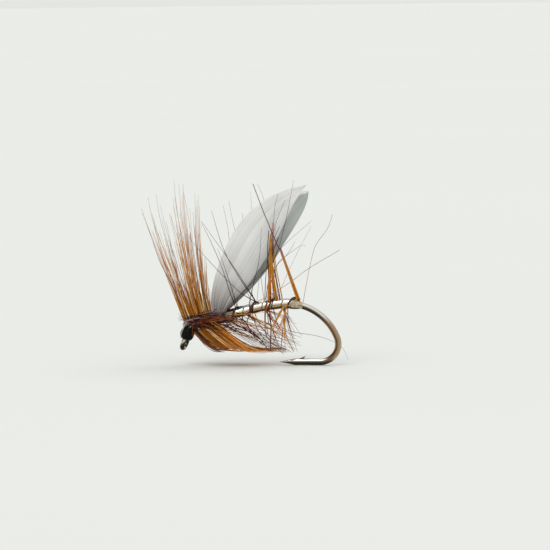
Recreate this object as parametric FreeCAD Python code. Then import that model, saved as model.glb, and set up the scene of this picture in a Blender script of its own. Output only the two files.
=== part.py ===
"""Winged dry fly on a down-eyed hook, built as the separate pieces that a fly is tied from.

Frame, in millimetres: the origin is the centre of the hook's eye, +Z is up as the fly stands on its
hackle tips and its spear, +X runs back towards the bend, and -Y is the fly's left side.
Whatever is tied to the shank is placed by X, and by an angle about the wire that is measured from
straight up towards the fly's left.
"""

import FreeCAD
import Part

import math
import os
import random

from FreeCAD import Vector

# ---- hook
WIRE_R = 0.29
EYE_WIRE_R = 0.21
EYE_RING_R = 0.48  # the eye's centre to the middle of its wire
EYE_BORE_R = 0.30  # the flat land inside the ring
EYE_SLIT = 0.04  # where the ring's end meets the neck
EYE_SLIT_ANGLE = 55.0
EYE_TWIST = 9.0  # the ring is bent this far out of square
NECK_HEADING = 68.6  # degrees above +X
NECK_LENGTH = 0.76
NECK_BEND_R = 0.90
SHANK_HEADING = 15.0
SHANK_LENGTH = 5.56
SHANK_SAG_R = 13.15
SHANK_SAG_TURN = 11.7
BEND_UPPER_R = 4.85
BEND_UPPER_TURN = 71.0
BEND_LOWER_R = 1.615
SPEAR_HEADING = -180.0
SPEAR_LENGTH = 2.35
POINT_LENGTH = 1.35
POINT_TIP_R = 0.015
BARB_BACK = 0.15  # from the start of the point to the front of the cut barb
BARB_LENGTH = 0.85
BARB_RISE = 0.24
BARB_ROOT_DEPTH = 0.12
BARB_WIDTH = 0.18

# ---- layers on the shank: radii from the middle of the wire
FOUNDATION_X = (0.70, 10.00, 10.80)
FOUNDATION_R = (0.32, 0.41, 0.31)
THREAD_R = 0.045
TINSEL_X = (3.90, 10.62)
TINSEL_THICKNESS = 0.05
TINSEL_WIDTH = 0.86
TINSEL_PITCH = 0.90
TINSEL_LAP = 0.025  # the front edge of each turn rides up by this much
PALMER_X = (3.90, 10.00)
PALMER_PITCH = 1.71
PALMER_STEM_R = 0.085
PALMER_END_ANGLE = -5.0
COLLAR_X = (0.64, 2.20)
COLLAR_PITCH = 0.34
COLLAR_STEM_R = 0.085
COLLAR_COIL_R = 0.55  # wide enough to go over the wing butts as well
COLLAR_LIFT = 0.13
FRONT_WRAPS_X = (2.36, 2.64)
FRONT_WRAPS_R = 0.495
FRONT_WRAPS_LIFT = 0.11
REAR_WRAPS_X = (3.58, 3.78)
REAR_TIE_X = (10.22, 10.40)  # under the last turn of the tinsel, sunk into the layer below

# ---- head, as distances up the neck from the eye's centre
HEAD_START = 0.34
HEAD_END = 1.32
HEAD_FRONT_R = 0.44
HEAD_BELLY_R = 0.62
HEAD_BACK_R = 0.50
VARNISH_THICKNESS = 0.045

# ---- wings: the outline of each slip in the XZ plane, from its foot round to its tip and back
LEFT_TIP = (11.48, 14.30)
LEFT_FRONT_EDGE = (
    (2.75, 2.50),
    (2.50, 3.60),
    (2.66, 5.20),
    (3.40, 7.60),
    (4.63, 10.00),
    (6.15, 11.81),
    (8.30, 13.25),
)
LEFT_REAR_EDGE = ((10.50, 13.00), (9.71, 11.57), (8.85, 9.86), (7.62, 7.70), (5.92, 5.27), (3.78, 2.78))
RIGHT_TIP = (11.27, 13.57)
RIGHT_FRONT_EDGE = ((2.80, 2.50), (2.79, 3.16), (3.12, 5.15), (4.25, 7.52), (6.07, 10.67), (8.62, 12.76))
RIGHT_REAR_EDGE = ((11.07, 12.52), (10.44, 11.16), (9.13, 9.04), (7.53, 6.60), (5.93, 4.75), (3.78, 2.76))
WING_THICKNESS = 0.11
WING_CAMBER_R = 7.0
WING_ROOT_Y = 0.33
WING_FLARE = 4.0  # degrees that each wing leans out from root to tip
BUTT_R = 0.11
BUTT_ANGLE = 25.6  # where the butts lie on the shank
BUTT_IN_BLADE = ((3.60, 3.25), (3.15, 2.85))
BUTT_ON_SHANK_X = (2.55, 1.80, 1.05)
BUTT_OVERHANG = 0.95
BUTT_DROOP = 20.0

# ---- barbs
BARB_ROOT_R = 0.045
BARB_TIP_R = 0.012
SHANK_START_X = 1.10
COLLAR_FORWARD_SWEEP = 9.0  # degrees that the foremost collar barbs lean ahead of the rearmost
PALMER_BARB_STEP = 20.0  # degrees of the stem's turn between barbs
SEED = 7

SAMPLES_PER_TURN = 14


class Line:
    """A straight stretch of the wire in the XZ plane."""

    def __init__(self, start, heading, length):
        self.start = start
        self.heading = heading
        self.length = length

    def at(self, distance):
        run = Vector(math.cos(self.heading), 0, math.sin(self.heading))
        return self.start + run * distance, self.heading

    def edge(self, begin, finish):
        return Part.LineSegment(self.at(begin)[0], self.at(finish)[0]).toShape()


class Arc:
    """A stretch of the wire in the XZ plane that turns down as it goes back."""

    def __init__(self, start, heading, radius, turn):
        self.heading = heading
        self.radius = radius
        self.length = radius * turn
        self.centre = start + Vector(math.sin(heading), 0, -math.cos(heading)) * radius

    def at(self, distance):
        heading = self.heading - distance / self.radius
        out = Vector(-math.sin(heading), 0, math.cos(heading))
        return self.centre + out * self.radius, heading

    def edge(self, begin, finish):
        middle = self.at((begin + finish) / 2)[0]
        return Part.Arc(self.at(begin)[0], middle, self.at(finish)[0]).toShape()


class Centreline:
    """The middle of the hook's wire from the eye to the start of the point."""

    def __init__(self):
        neck = math.radians(NECK_HEADING)
        shank = math.radians(SHANK_HEADING)
        self.neck_direction = Vector(math.cos(neck), 0, math.sin(neck))
        self.parts = []
        self.end = self.neck_direction * EYE_RING_R
        self.heading = neck
        self.add_line(NECK_LENGTH)
        self.add_arc(NECK_BEND_R, neck - shank)
        self.add_line(SHANK_LENGTH)
        self.add_arc(SHANK_SAG_R, math.radians(SHANK_SAG_TURN))
        self.add_arc(BEND_UPPER_R, math.radians(BEND_UPPER_TURN))
        self.add_arc(BEND_LOWER_R, self.heading - math.radians(SPEAR_HEADING))
        self.add_line(SPEAR_LENGTH)

    def add(self, part):
        self.parts.append(part)
        self.end, self.heading = part.at(part.length)

    def add_line(self, length):
        self.add(Line(self.end, self.heading, length))

    def add_arc(self, radius, turn):
        self.add(Arc(self.end, self.heading, radius, turn))

    def at(self, distance):
        """The point, the way back along the wire, and the way up from it."""
        for part in self.parts:
            if distance <= part.length or part is self.parts[-1]:
                point, heading = part.at(distance)
                back = Vector(math.cos(heading), 0, math.sin(heading))
                up = Vector(-math.sin(heading), 0, math.cos(heading))
                return point, back, up
            distance -= part.length

    def distance_at_x(self, x):
        """How far along the neck, the shank or the top of the bend the wire reaches this X."""
        low = 0.0
        high = sum(part.length for part in self.parts[:4]) + BEND_UPPER_R / 2
        for _ in range(50):
            middle = (low + high) / 2
            if self.at(middle)[0].x < x:
                low = middle
            else:
                high = middle
        return low

    def around(self, distance, angle, radius, lift=0.0):
        """A point beside the wire, and the way out from it. The angle is in degrees."""
        point, _, up = self.at(distance)
        turn = math.radians(angle)
        out = up * math.cos(turn) - Vector(0, math.sin(turn), 0)
        return point + out * radius + up * lift, out

    def edges(self, begin, finish):
        """The stretch between two distances, as one edge for each line or arc."""
        found = []
        for part in self.parts:
            low, high = max(begin, 0.0), min(finish, part.length)
            if high - low > 1e-6:
                found.append(part.edge(low, high))
            begin -= part.length
            finish -= part.length
        return found


WIRE = Centreline()
FLOOR_Z = WIRE.end.z - WIRE_R


class Coil:
    """A round bar wound about the shank, whose turns come down on the fly's left going forward."""

    def __init__(self, x_range, pitch, radii, bar_r, end_angle=0.0, lift=0.0):
        self.first, self.last = (WIRE.distance_at_x(x) for x in x_range)
        self.turns = (self.last - self.first) / pitch
        self.radii = radii
        self.bar_r = bar_r
        self.end_angle = end_angle
        self.lift = lift

    def at(self, turns_from_rear, extra=0.0):
        """A point on the bar's middle, or extra further out, its distance along the wire and its angle."""
        share = 1 - turns_from_rear / self.turns
        distance = self.first + (self.last - self.first) * share
        radius = self.radii[0] + (self.radii[1] - self.radii[0]) * share + extra
        angle = self.end_angle + 360 * turns_from_rear
        return WIRE.around(distance, angle, radius, self.lift)[0], distance, angle

    def turns_at(self, whole_turns, angle):
        """How many turns from the rear the bar is at this angle, after so many whole turns."""
        return whole_turns + ((angle - self.end_angle) % 360) / 360

    def solid(self):
        count = max(8, round(self.turns * SAMPLES_PER_TURN))
        points = [self.at(self.turns * (1 - i / count))[0] for i in range(count + 1)]
        edge = curve_through(points)
        return swept_disc([edge], points[0], edge.tangentAt(edge.FirstParameter), self.bar_r)


def foundation_r(x):
    first = 0 if x < FOUNDATION_X[1] else 1
    share = (x - FOUNDATION_X[first]) / (FOUNDATION_X[first + 1] - FOUNDATION_X[first])
    return FOUNDATION_R[first] + (FOUNDATION_R[first + 1] - FOUNDATION_R[first]) * share


def swept_disc(edges, start, along, radius):
    """A round bar along a chain of edges."""
    disc = Part.Wire([Part.Circle(start, along, radius).toShape()])
    return Part.Wire(edges).makePipeShell([disc], True, True)


def curve_through(points, evenly=False):
    """One smooth edge through the points, whose parameter can be made to run evenly from one to the next."""
    curve = Part.BSplineCurve()
    if evenly:
        curve.interpolate(Points=points, Parameters=[float(i) for i in range(len(points))])
    else:
        curve.interpolate(points)
    return curve.toShape()


def largest(shape):
    return max(shape.Solids, key=lambda solid: solid.Volume)


# ---- hook


def eye_ring():
    """The ring, bent from the wire's end, with a narrow flat land inside it and a slit where it closes."""
    half = math.sqrt(EYE_WIRE_R**2 - (EYE_RING_R - EYE_BORE_R) ** 2)
    low = Vector(EYE_BORE_R, 0, -half)
    high = Vector(EYE_BORE_R, 0, half)
    outside = Part.Arc(low, Vector(EYE_RING_R + EYE_WIRE_R, 0, 0), high).toShape()
    land = Part.LineSegment(high, low).toShape()
    ring = Part.Face(Part.Wire([outside, land])).revolve(Vector(0, 0, 0), Vector(0, 0, 1), 360)
    slit = Part.makeBox(3 * EYE_WIRE_R, EYE_SLIT, 1.0, Vector(EYE_BORE_R - 0.05, 0, -0.5))
    slit.rotate(Vector(0, 0, 0), Vector(0, 0, 1), EYE_SLIT_ANGLE)
    ring = ring.cut(slit)
    # the ring is made about Z: its X becomes the way up the neck, and its Z the bore's axis
    forward = Vector(-math.sin(math.radians(NECK_HEADING)), 0, math.cos(math.radians(NECK_HEADING)))
    square = FreeCAD.Rotation(WIRE.neck_direction, Vector(0, -1, 0), forward, "XYZ")
    twist = FreeCAD.Rotation(WIRE.neck_direction, -EYE_TWIST)
    ring.Placement = FreeCAD.Placement(Vector(0, 0, 0), twist.multiply(square))
    return ring


def cut_barb():
    """The sliver raised on the inner side of the spear, just behind the point."""
    front = WIRE.end.x + BARB_BACK
    top = WIRE.end.z + WIRE_R
    corners = [
        Vector(front, 0, top - BARB_ROOT_DEPTH),
        Vector(front + BARB_LENGTH, 0, top + BARB_RISE),
        Vector(front + 0.7 * BARB_LENGTH, 0, top - BARB_ROOT_DEPTH),
    ]
    outline = Part.makePolygon(corners + corners[:1])
    sliver = Part.Face(outline).extrude(Vector(0, BARB_WIDTH, 0))
    sliver.translate(Vector(0, -BARB_WIDTH / 2, 0))
    return sliver


def hook():
    """One wire: the eye's ring, the neck, the shank, the bend, the spear, the point and its cut barb."""
    neck = Part.makeCone(EYE_WIRE_R, WIRE_R, NECK_LENGTH, WIRE.parts[0].start, WIRE.neck_direction)
    total = sum(part.length for part in WIRE.parts)
    start = WIRE.at(NECK_LENGTH)[0]
    bar = swept_disc(WIRE.edges(NECK_LENGTH, total), start, WIRE.neck_direction, WIRE_R)
    point = Part.makeCone(WIRE_R, POINT_TIP_R, POINT_LENGTH, WIRE.end, Vector(-1, 0, 0))
    return eye_ring().fuse([neck, bar, point, cut_barb()]).removeSplitter()


# ---- layers on the shank


def foundation_thread(hook_solid):
    """The first layer of tying thread, a close sleeve that thickens towards the bend and then runs out."""
    distances = [WIRE.distance_at_x(x) for x in FOUNDATION_X]
    rings = []
    for distance, radius in zip(distances, FOUNDATION_R):
        point, back, _ = WIRE.at(distance)
        rings.append(Part.Wire([Part.Circle(point, back, radius).toShape()]))
    sleeves = []
    for i in (0, 1):
        spine = Part.Wire(WIRE.edges(distances[i], distances[i + 1]))
        sleeves.append(spine.makePipeShell(rings[i:i + 2], True, True))
    return sleeves[0].fuse(sleeves[1]).cut(hook_solid)


def tinsel_edge(first, run, turns, shift, rise):
    """One of the four long edges of the tinsel ribbon."""
    count = round(turns * SAMPLES_PER_TURN)
    points = []
    for i in range(count + 1):
        distance = first + run * i / count
        radius = foundation_r(WIRE.at(distance + shift)[0].x) + rise
        points.append(WIRE.around(distance + shift, -360 * turns * i / count, radius)[0])
    return curve_through(points, evenly=True)


def tinsel_body():
    """Flat tinsel wound in close turns over the thread, each turn's front edge riding up a little."""
    first, last = (WIRE.distance_at_x(x) for x in TINSEL_X)
    run = last - first - TINSEL_WIDTH
    turns = run / TINSEL_PITCH
    loop = [
        tinsel_edge(first, run, turns, 0.0, TINSEL_LAP),
        tinsel_edge(first, run, turns, 0.0, TINSEL_LAP + TINSEL_THICKNESS),
        tinsel_edge(first, run, turns, TINSEL_WIDTH, TINSEL_THICKNESS),
        tinsel_edge(first, run, turns, TINSEL_WIDTH, 0.0),
    ]
    same_way = 1
    faces = [Part.makeRuledSurface(loop[i], loop[(i + 1) % 4], same_way) for i in range(4)]
    for end in (0, -1):
        a, b, c, d = (edge.Vertexes[end].Point for edge in loop)
        faces.append(Part.Face(Part.makePolygon([a, b, c, a])))
        faces.append(Part.Face(Part.makePolygon([a, c, d, a])))
    shell = Part.Shell(faces)
    shell.sewShape()
    solid = Part.Solid(shell)
    if solid.Volume < 0:
        solid.reverse()
    return solid


def palmer_coil():
    over_tinsel = TINSEL_THICKNESS + TINSEL_LAP + PALMER_STEM_R
    radii = [foundation_r(x) + over_tinsel for x in PALMER_X]
    return Coil(PALMER_X, PALMER_PITCH, radii, PALMER_STEM_R, PALMER_END_ANGLE)


def collar_coil():
    radii = (COLLAR_COIL_R, COLLAR_COIL_R)
    return Coil(COLLAR_X, COLLAR_PITCH, radii, COLLAR_STEM_R, lift=COLLAR_LIFT)


def thread_turns(x_range, radius, lift=0.0):
    """Touching turns of tying thread."""
    return Coil(x_range, 2.05 * THREAD_R, (radius, radius), THREAD_R, lift=lift).solid()


def wing_tie_thread():
    """The turns that bind the wings, in front of their feet and behind them."""
    front = thread_turns(FRONT_WRAPS_X, FRONT_WRAPS_R, FRONT_WRAPS_LIFT)
    rear = thread_turns(REAR_WRAPS_X, foundation_r(REAR_WRAPS_X[1]) + THREAD_R)
    return [front, rear]


# ---- head


def head_block(swell):
    """The barrel of the head about the neck's direction, swollen by a coat's thickness."""
    length = HEAD_END - HEAD_START
    side = [
        Vector(HEAD_FRONT_R * 0.85, 0, HEAD_START - swell),
        Vector(HEAD_FRONT_R + swell, 0, HEAD_START + 0.06 * length),
        Vector(HEAD_BELLY_R + swell, 0, HEAD_START + 0.42 * length),
        Vector(HEAD_BELLY_R * 0.96 + swell, 0, HEAD_START + 0.75 * length),
        Vector(HEAD_BACK_R, 0, HEAD_END + swell),
    ]
    front = Vector(0, 0, side[0].z)
    back = Vector(0, 0, side[-1].z)
    outline = [
        Part.LineSegment(front, side[0]).toShape(),
        curve_through(side),
        Part.LineSegment(side[-1], back).toShape(),
        Part.LineSegment(back, front).toShape(),
    ]
    block = Part.Face(Part.Wire(outline)).revolve(Vector(0, 0, 0), Vector(0, 0, 1), 360)
    up_neck = FreeCAD.Rotation(Vector(0, 0, 1), WIRE.neck_direction)
    block.Placement = FreeCAD.Placement(Vector(0, 0, 0), up_neck)
    return block


def head_thread(hook_solid):
    return largest(head_block(0.0).cut(hook_solid))


def head_varnish(hook_solid):
    """The clear coat, a thin shell that covers the thread."""
    return largest(head_block(VARNISH_THICKNESS).cut(head_block(0.0)).cut(hook_solid))


# ---- wings


def wing_blade(side, tip, front_edge, rear_edge):
    """The blade: its outline cut from a thin, bowed shell. side is -1 for the fly's left, 1 for its right."""
    front = [Vector(x, 0, z) for x, z in front_edge + (tip,)]
    rear = [Vector(x, 0, z) for x, z in (tip,) + rear_edge]
    foot = Part.LineSegment(rear[-1], front[0]).toShape()
    outline = Part.Face(Part.Wire([curve_through(front), curve_through(rear), foot]))
    slab = outline.extrude(Vector(0, side * 4, 0))
    root = (front[0] + rear[-1]) * 0.5
    lean = math.radians(WING_FLARE)
    axis = (front[-1] - root).normalize() * math.cos(lean) + Vector(0, side * math.sin(lean), 0)
    start = root + Vector(0, side * (WING_ROOT_Y - WING_CAMBER_R), 0) - axis * 2
    outer = Part.makeCylinder(WING_CAMBER_R, 20, start, axis)
    inner = Part.makeCylinder(WING_CAMBER_R - WING_THICKNESS, 22, start - axis, axis)
    return largest(slab.common(outer.cut(inner)))


def wing_butt(side):
    """The squeezed end of the slip, which runs forward on the shank and over the head."""
    angle = -side * BUTT_ANGLE
    middle = side * (WING_ROOT_Y - WING_THICKNESS / 2)
    points = [Vector(x, middle, z) for x, z in BUTT_IN_BLADE]
    for x in BUTT_ON_SHANK_X:
        distance = WIRE.distance_at_x(x)
        points.append(WIRE.around(distance, angle, foundation_r(x) + BUTT_R)[0])
    droop = math.radians(BUTT_DROOP)
    points.append(points[-1] - Vector(math.cos(droop), 0, math.sin(droop)) * BUTT_OVERHANG)
    edge = curve_through(points)
    return swept_disc([edge], points[0], edge.tangentAt(edge.FirstParameter), BUTT_R)


def wing(side, tip, front_edge, rear_edge):
    return wing_blade(side, tip, front_edge, rear_edge).fuse(wing_butt(side))


# ---- barbs


def barb(coil, turns, sweep, length):
    """One straight tapered barb from the coil's stem, swept back by an angle, that stops at the floor.

    Barbs on the bend of the neck lie side by side with those on the shank.
    """
    root, distance, angle = coil.at(turns, coil.bar_r * 0.8)
    lie = max(distance, WIRE.distance_at_x(SHANK_START_X))
    out = WIRE.around(lie, angle, 0)[1]
    back = WIRE.at(lie)[1]
    turn = math.radians(sweep)
    tip = root + (out * math.cos(turn) + back * math.sin(turn)) * length
    tip.z = max(tip.z, FLOOR_Z + 2 * BARB_TIP_R)
    run = tip - root
    return Part.makeCone(BARB_ROOT_R, BARB_TIP_R, run.Length, root, run.normalize())


def collar_group(rng, count, angles, sweeps, lengths):
    """Barbs of the collar whose angles about the shank lie in a range, shared out over its turns."""
    coil = collar_coil()
    barbs = []
    for i in range(count):
        angle = angles[0] + (angles[1] - angles[0]) * (i + 0.5) / count + rng.uniform(-3, 3)
        turns = min(coil.turns_at(i % int(coil.turns), angle), coil.turns)
        sweep = rng.uniform(*sweeps) - COLLAR_FORWARD_SWEEP * turns / coil.turns
        barbs.append(barb(coil, turns, sweep, rng.uniform(*lengths)))
    return barbs


def collar_groups():
    rng = random.Random(SEED)
    return {
        "upper": collar_group(rng, 30, (-36, 36), (-2, 4), (10.6, 12.8)),
        "left": collar_group(rng, 14, (55, 125), (20, 44), (6.0, 7.6)),
        "right": collar_group(rng, 14, (235, 305), (20, 44), (6.0, 7.6)),
        "lower": collar_group(rng, 28, (132, 228), (36, 74), (4.5, 9.0)),
    }


def palmer_groups():
    """The body hackle's barbs, one group for each turn of its stem, the first at the front."""
    rng = random.Random(SEED + 1)
    coil = palmer_coil()
    whole = math.ceil(coil.turns)
    groups = [[] for _ in range(whole)]
    step = PALMER_BARB_STEP / 360
    for i in range(int(coil.turns / step)):
        turns = (i + 0.5) * step
        angle = (coil.end_angle + 360 * turns) % 360
        if angle < 65 or angle > 295:
            sweep, length = rng.uniform(-42, 16), rng.uniform(7.0, 10.0)
        elif 125 < angle < 235:
            sweep, length = rng.uniform(-4, 26), rng.uniform(4.5, 6.5)
        else:
            sweep, length = rng.uniform(-25, 25), rng.uniform(5.5, 7.0)
        groups[whole - 1 - int(turns)].append(barb(coil, turns, sweep, length))
    return groups


def build():
    """Every node's name with its solids."""
    hook_solid = hook()
    nodes = {
        "hook": [hook_solid],
        "foundation_thread": [foundation_thread(hook_solid)],
        "tinsel_body": [tinsel_body()],
        "palmer_stem": [palmer_coil().solid()],
        "rear_tie_thread": [thread_turns(REAR_TIE_X, foundation_r(REAR_TIE_X[1]))],
        "left_wing": [wing(-1, LEFT_TIP, LEFT_FRONT_EDGE, LEFT_REAR_EDGE)],
        "right_wing": [wing(1, RIGHT_TIP, RIGHT_FRONT_EDGE, RIGHT_REAR_EDGE)],
        "wing_tie_thread": wing_tie_thread(),
        "collar_stem": [collar_coil().solid()],
        "head_thread": [head_thread(hook_solid)],
        "head_varnish": [head_varnish(hook_solid)],
    }
    for name, barbs in collar_groups().items():
        nodes["collar_barbs_" + name] = barbs
    for number, barbs in enumerate(palmer_groups(), 1):
        nodes[f"palmer_barbs_turn_{number}"] = barbs
    return nodes


def main():
    os.makedirs("parts", exist_ok=True)
    for name, solids in build().items():
        shape = solids[0] if len(solids) == 1 else Part.makeCompound(solids)
        shape.exportStep(f"parts/{name}.step")
        print(f"{name:22s} solids {len(shape.Solids):3d} valid {shape.isValid()} volume {shape.Volume:8.4f}")


main()
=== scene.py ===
import math
import random

import bpy
import numpy as np
from mathutils import Matrix, Vector


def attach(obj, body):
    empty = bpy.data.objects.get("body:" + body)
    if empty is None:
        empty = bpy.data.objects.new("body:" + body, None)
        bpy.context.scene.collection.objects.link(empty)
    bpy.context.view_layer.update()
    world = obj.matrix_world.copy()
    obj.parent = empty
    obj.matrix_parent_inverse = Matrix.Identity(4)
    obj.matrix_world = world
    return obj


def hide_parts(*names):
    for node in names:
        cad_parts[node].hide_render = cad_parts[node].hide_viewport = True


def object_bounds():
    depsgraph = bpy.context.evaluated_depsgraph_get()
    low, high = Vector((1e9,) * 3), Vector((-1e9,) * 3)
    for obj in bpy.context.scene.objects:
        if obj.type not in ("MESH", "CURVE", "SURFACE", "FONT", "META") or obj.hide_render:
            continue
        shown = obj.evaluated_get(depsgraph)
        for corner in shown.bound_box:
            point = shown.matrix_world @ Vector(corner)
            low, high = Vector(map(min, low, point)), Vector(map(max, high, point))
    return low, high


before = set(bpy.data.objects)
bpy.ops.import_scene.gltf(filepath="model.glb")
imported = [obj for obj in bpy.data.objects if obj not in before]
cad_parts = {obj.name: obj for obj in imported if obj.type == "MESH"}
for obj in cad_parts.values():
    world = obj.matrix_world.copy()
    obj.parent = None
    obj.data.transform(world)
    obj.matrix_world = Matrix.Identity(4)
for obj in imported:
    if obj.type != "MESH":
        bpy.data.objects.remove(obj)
CAD_BOX = [list(corner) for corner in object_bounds()]

MM = 0.001
SIDEWAYS = np.array((0.0, 1.0, 0.0))


def mix(a, b, share):
    return a + (b - a) * share


# ---- the hook's wire: the line that everything is wound on, in millimetres and degrees

WIRE_START = 0.48  # from the eye's middle, which is the origin
NECK_HEADING = 68.6
WIRE_RUNS = (  # length and turn of each straight run or arc, from the eye to the start of the point
    (0.76, 0.0),
    (0.84, 53.6),
    (5.56, 0.0),
    (2.685, 11.7),
    (6.01, 71.0),
    (3.165, 112.3),
    (2.35, 0.0),
)
WIRE_STEP = 0.01


def wire_table():
    """Distance, X, Z and heading at closely spaced points of the wire."""
    heading = math.radians(NECK_HEADING)
    x, z = WIRE_START * math.cos(heading), WIRE_START * math.sin(heading)
    rows = [(0.0, x, z, heading)]
    for length, turn in WIRE_RUNS:
        count = round(length / WIRE_STEP)
        step, bend = length / count, math.radians(turn) / count
        for _ in range(count):
            x += step * math.cos(heading - bend / 2)
            z += step * math.sin(heading - bend / 2)
            heading -= bend
            rows.append((rows[-1][0] + step, x, z, heading))
    return np.array(rows)


WIRE = wire_table()
BACKMOST = int(np.argmax(WIRE[:, 1]))


def wire(distance):
    """The wire's middle at a distance from its start, the way back along it, and the way up from it."""
    x, z, heading = (np.interp(distance, WIRE[:, 0], WIRE[:, i]) for i in (1, 2, 3))
    back = np.array((math.cos(heading), 0.0, math.sin(heading)))
    up = np.array((-math.sin(heading), 0.0, math.cos(heading)))
    return np.array((x, 0.0, z)), back, up


def wire_at_x(x):
    return float(np.interp(x, WIRE[:BACKMOST, 1], WIRE[:BACKMOST, 0]))


def outward(up, angle):
    """The way out from the wire at an angle in degrees from straight up, round by the fly's left."""
    turn = math.radians(angle)
    return up * math.cos(turn) - SIDEWAYS * math.sin(turn)


def around(distance, angle, radius):
    """A point at an angle and a radius round the wire's middle."""
    point, _, up = wire(distance)
    return point + outward(up, angle) * radius


FOUNDATION_X = (0.70, 10.00, 10.80)
FOUNDATION_R = (0.32, 0.41, 0.31)


def foundation_r(x):
    return float(np.interp(x, FOUNDATION_X, FOUNDATION_R))


PALMER_X = (3.90, 10.00)
PALMER_PITCH = 1.71
PALMER_STEM_RISE = 0.16  # from the foundation to the middle of the body hackle's stem
PALMER_END_ANGLE = -5.0
PALMER_ENDS = [wire_at_x(x) for x in PALMER_X]
PALMER_RADII = [foundation_r(x) + PALMER_STEM_RISE for x in PALMER_X]
PALMER_TURNS = (PALMER_ENDS[1] - PALMER_ENDS[0]) / PALMER_PITCH  # counted from the rear


def palmer_at(turns, extra):
    """A point just outside the body hackle's stem, its distance along the wire and its angle round it."""
    share = 1 - turns / PALMER_TURNS
    distance = mix(*PALMER_ENDS, share)
    angle = PALMER_END_ANGLE + 360 * turns
    return around(distance, angle, mix(*PALMER_RADII, share) + extra), distance, angle


# ---- colours


def linear(*levels):
    """A colour given in 0-255 display levels, as linear values."""
    found = []
    for level in levels:
        share = level / 255
        found.append(share / 12.92 if share <= 0.04045 else ((share + 0.055) / 1.055) ** 2.4)
    return np.array(found)


RUST = linear(176, 84, 26)
GINGER = linear(228, 146, 42)
OCHRE = linear(222, 160, 52)
# CREAM: pale barbs, which also stand for painted highlights along the barbs
CREAM = linear(255, 230, 180)
TAN = linear(218, 170, 108)
UMBER = linear(126, 84, 54)
DARK = linear(66, 32, 24)
BLACK = linear(26, 14, 12)
MAUVE = linear(136, 98, 88)
MAROON = linear(128, 50, 30)
DUST = linear(176, 156, 140)
GREY = linear(166, 160, 160)
PINK = linear(204, 156, 140)


# ---- mesh making


def curve(points, count):
    """Evenly spaced points on a smooth line through the given ones."""
    given = np.array(points, float)
    if len(given) == 2:
        return np.linspace(given[0], given[1], count)
    padded = np.vstack([2 * given[0] - given[1], given, 2 * given[-1] - given[-2]])
    dense = []
    for i in range(len(given) - 1):
        a, b, c, d = padded[i:i + 4]
        square, cube = 2 * a - 5 * b + 4 * c - d, 3 * b - a - 3 * c + d
        for t in np.linspace(0, 1, 12, endpoint=False):
            dense.append(0.5 * (2 * b + (c - a) * t + square * t**2 + cube * t**3))
    dense.append(given[-1])
    dense = np.array(dense)
    run = np.concatenate([[0], np.cumsum(np.linalg.norm(np.diff(dense, axis=0), axis=1))])
    even = np.linspace(0, run[-1], count)
    return np.stack([np.interp(even, run, dense[:, i]) for i in range(3)], 1)


def unit(rows):
    return rows / np.maximum(np.linalg.norm(rows, axis=-1, keepdims=True), 1e-9)


def add(name, data):
    """An object that is in the scene."""
    made = bpy.data.objects.new(name, data)
    bpy.context.scene.collection.objects.link(made)
    return made


ASKEW = (0.31, 0.86, 0.41)  # a direction that no strand starts along


class Skin:
    """Gathers closed tubes with a colour at each point, and makes one mesh of them."""

    def __init__(self):
        self.verts, self.faces, self.tints = [], [], []
        self.total = 0

    def rings(self, rings, tints=None):
        """A closed tube through rings of points, each ring in one colour."""
        rings = np.asarray(rings)
        count, sides = rings.shape[:2]
        self.verts.append(rings.reshape(-1, 3))
        self.tints.append(np.repeat(np.ones((count, 3)) if tints is None else tints, sides, axis=0))
        base = self.total
        for i in range(count - 1):
            low = base + i * sides
            for k in range(sides):
                j = (k + 1) % sides
                self.faces.append((low + k, low + j, low + sides + j, low + sides + k))
        self.faces.append(tuple(range(base + sides - 1, base - 1, -1)))
        last = base + (count - 1) * sides
        self.faces.append(tuple(range(last, last + sides)))
        self.total += count * sides

    def strand(self, points, widths, tints, sides=4, wide=None, depths=None):
        """A tapered bar along points. widths and depths are half sizes; wide is the way the width runs."""
        points = np.asarray(points, float)
        along = unit(np.gradient(points, axis=0))
        if wide is None:
            wide = np.cross(along[0], ASKEW)
        wide = unit(wide - along * np.sum(wide * along, axis=1, keepdims=True))
        deep = np.cross(along, wide)
        widths = np.broadcast_to(widths, len(points))
        depths = widths if depths is None else np.broadcast_to(depths, len(points))
        turn = np.arange(sides) * 2 * math.pi / sides
        rings = (
            points[:, None]
            + wide[:, None] * (np.cos(turn)[None, :] * widths[:, None])[:, :, None]
            + deep[:, None] * (np.sin(turn)[None, :] * depths[:, None])[:, :, None]
        )
        self.rings(rings, np.broadcast_to(tints, (len(points), 3)))

    def make(self, name, material, slot, *nodes):
        """One piece from all the tubes, which stands for the CAD nodes."""
        mesh = bpy.data.meshes.new(name)
        mesh.from_pydata((np.vstack(self.verts) * MM).tolist(), [], self.faces)
        tint = mesh.color_attributes.new("tint", "FLOAT_COLOR", "POINT")
        colours = np.hstack([np.vstack(self.tints), np.ones((self.total, 1))])
        tint.data.foreach_set("color", colours.ravel())
        mesh.polygons.foreach_set("use_smooth", np.ones(len(mesh.polygons), bool))
        mesh.materials.append(material)
        mesh.update()
        piece = add(name, mesh)
        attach(piece, "root")
        if nodes:
            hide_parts(*nodes)


# ---- materials


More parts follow.
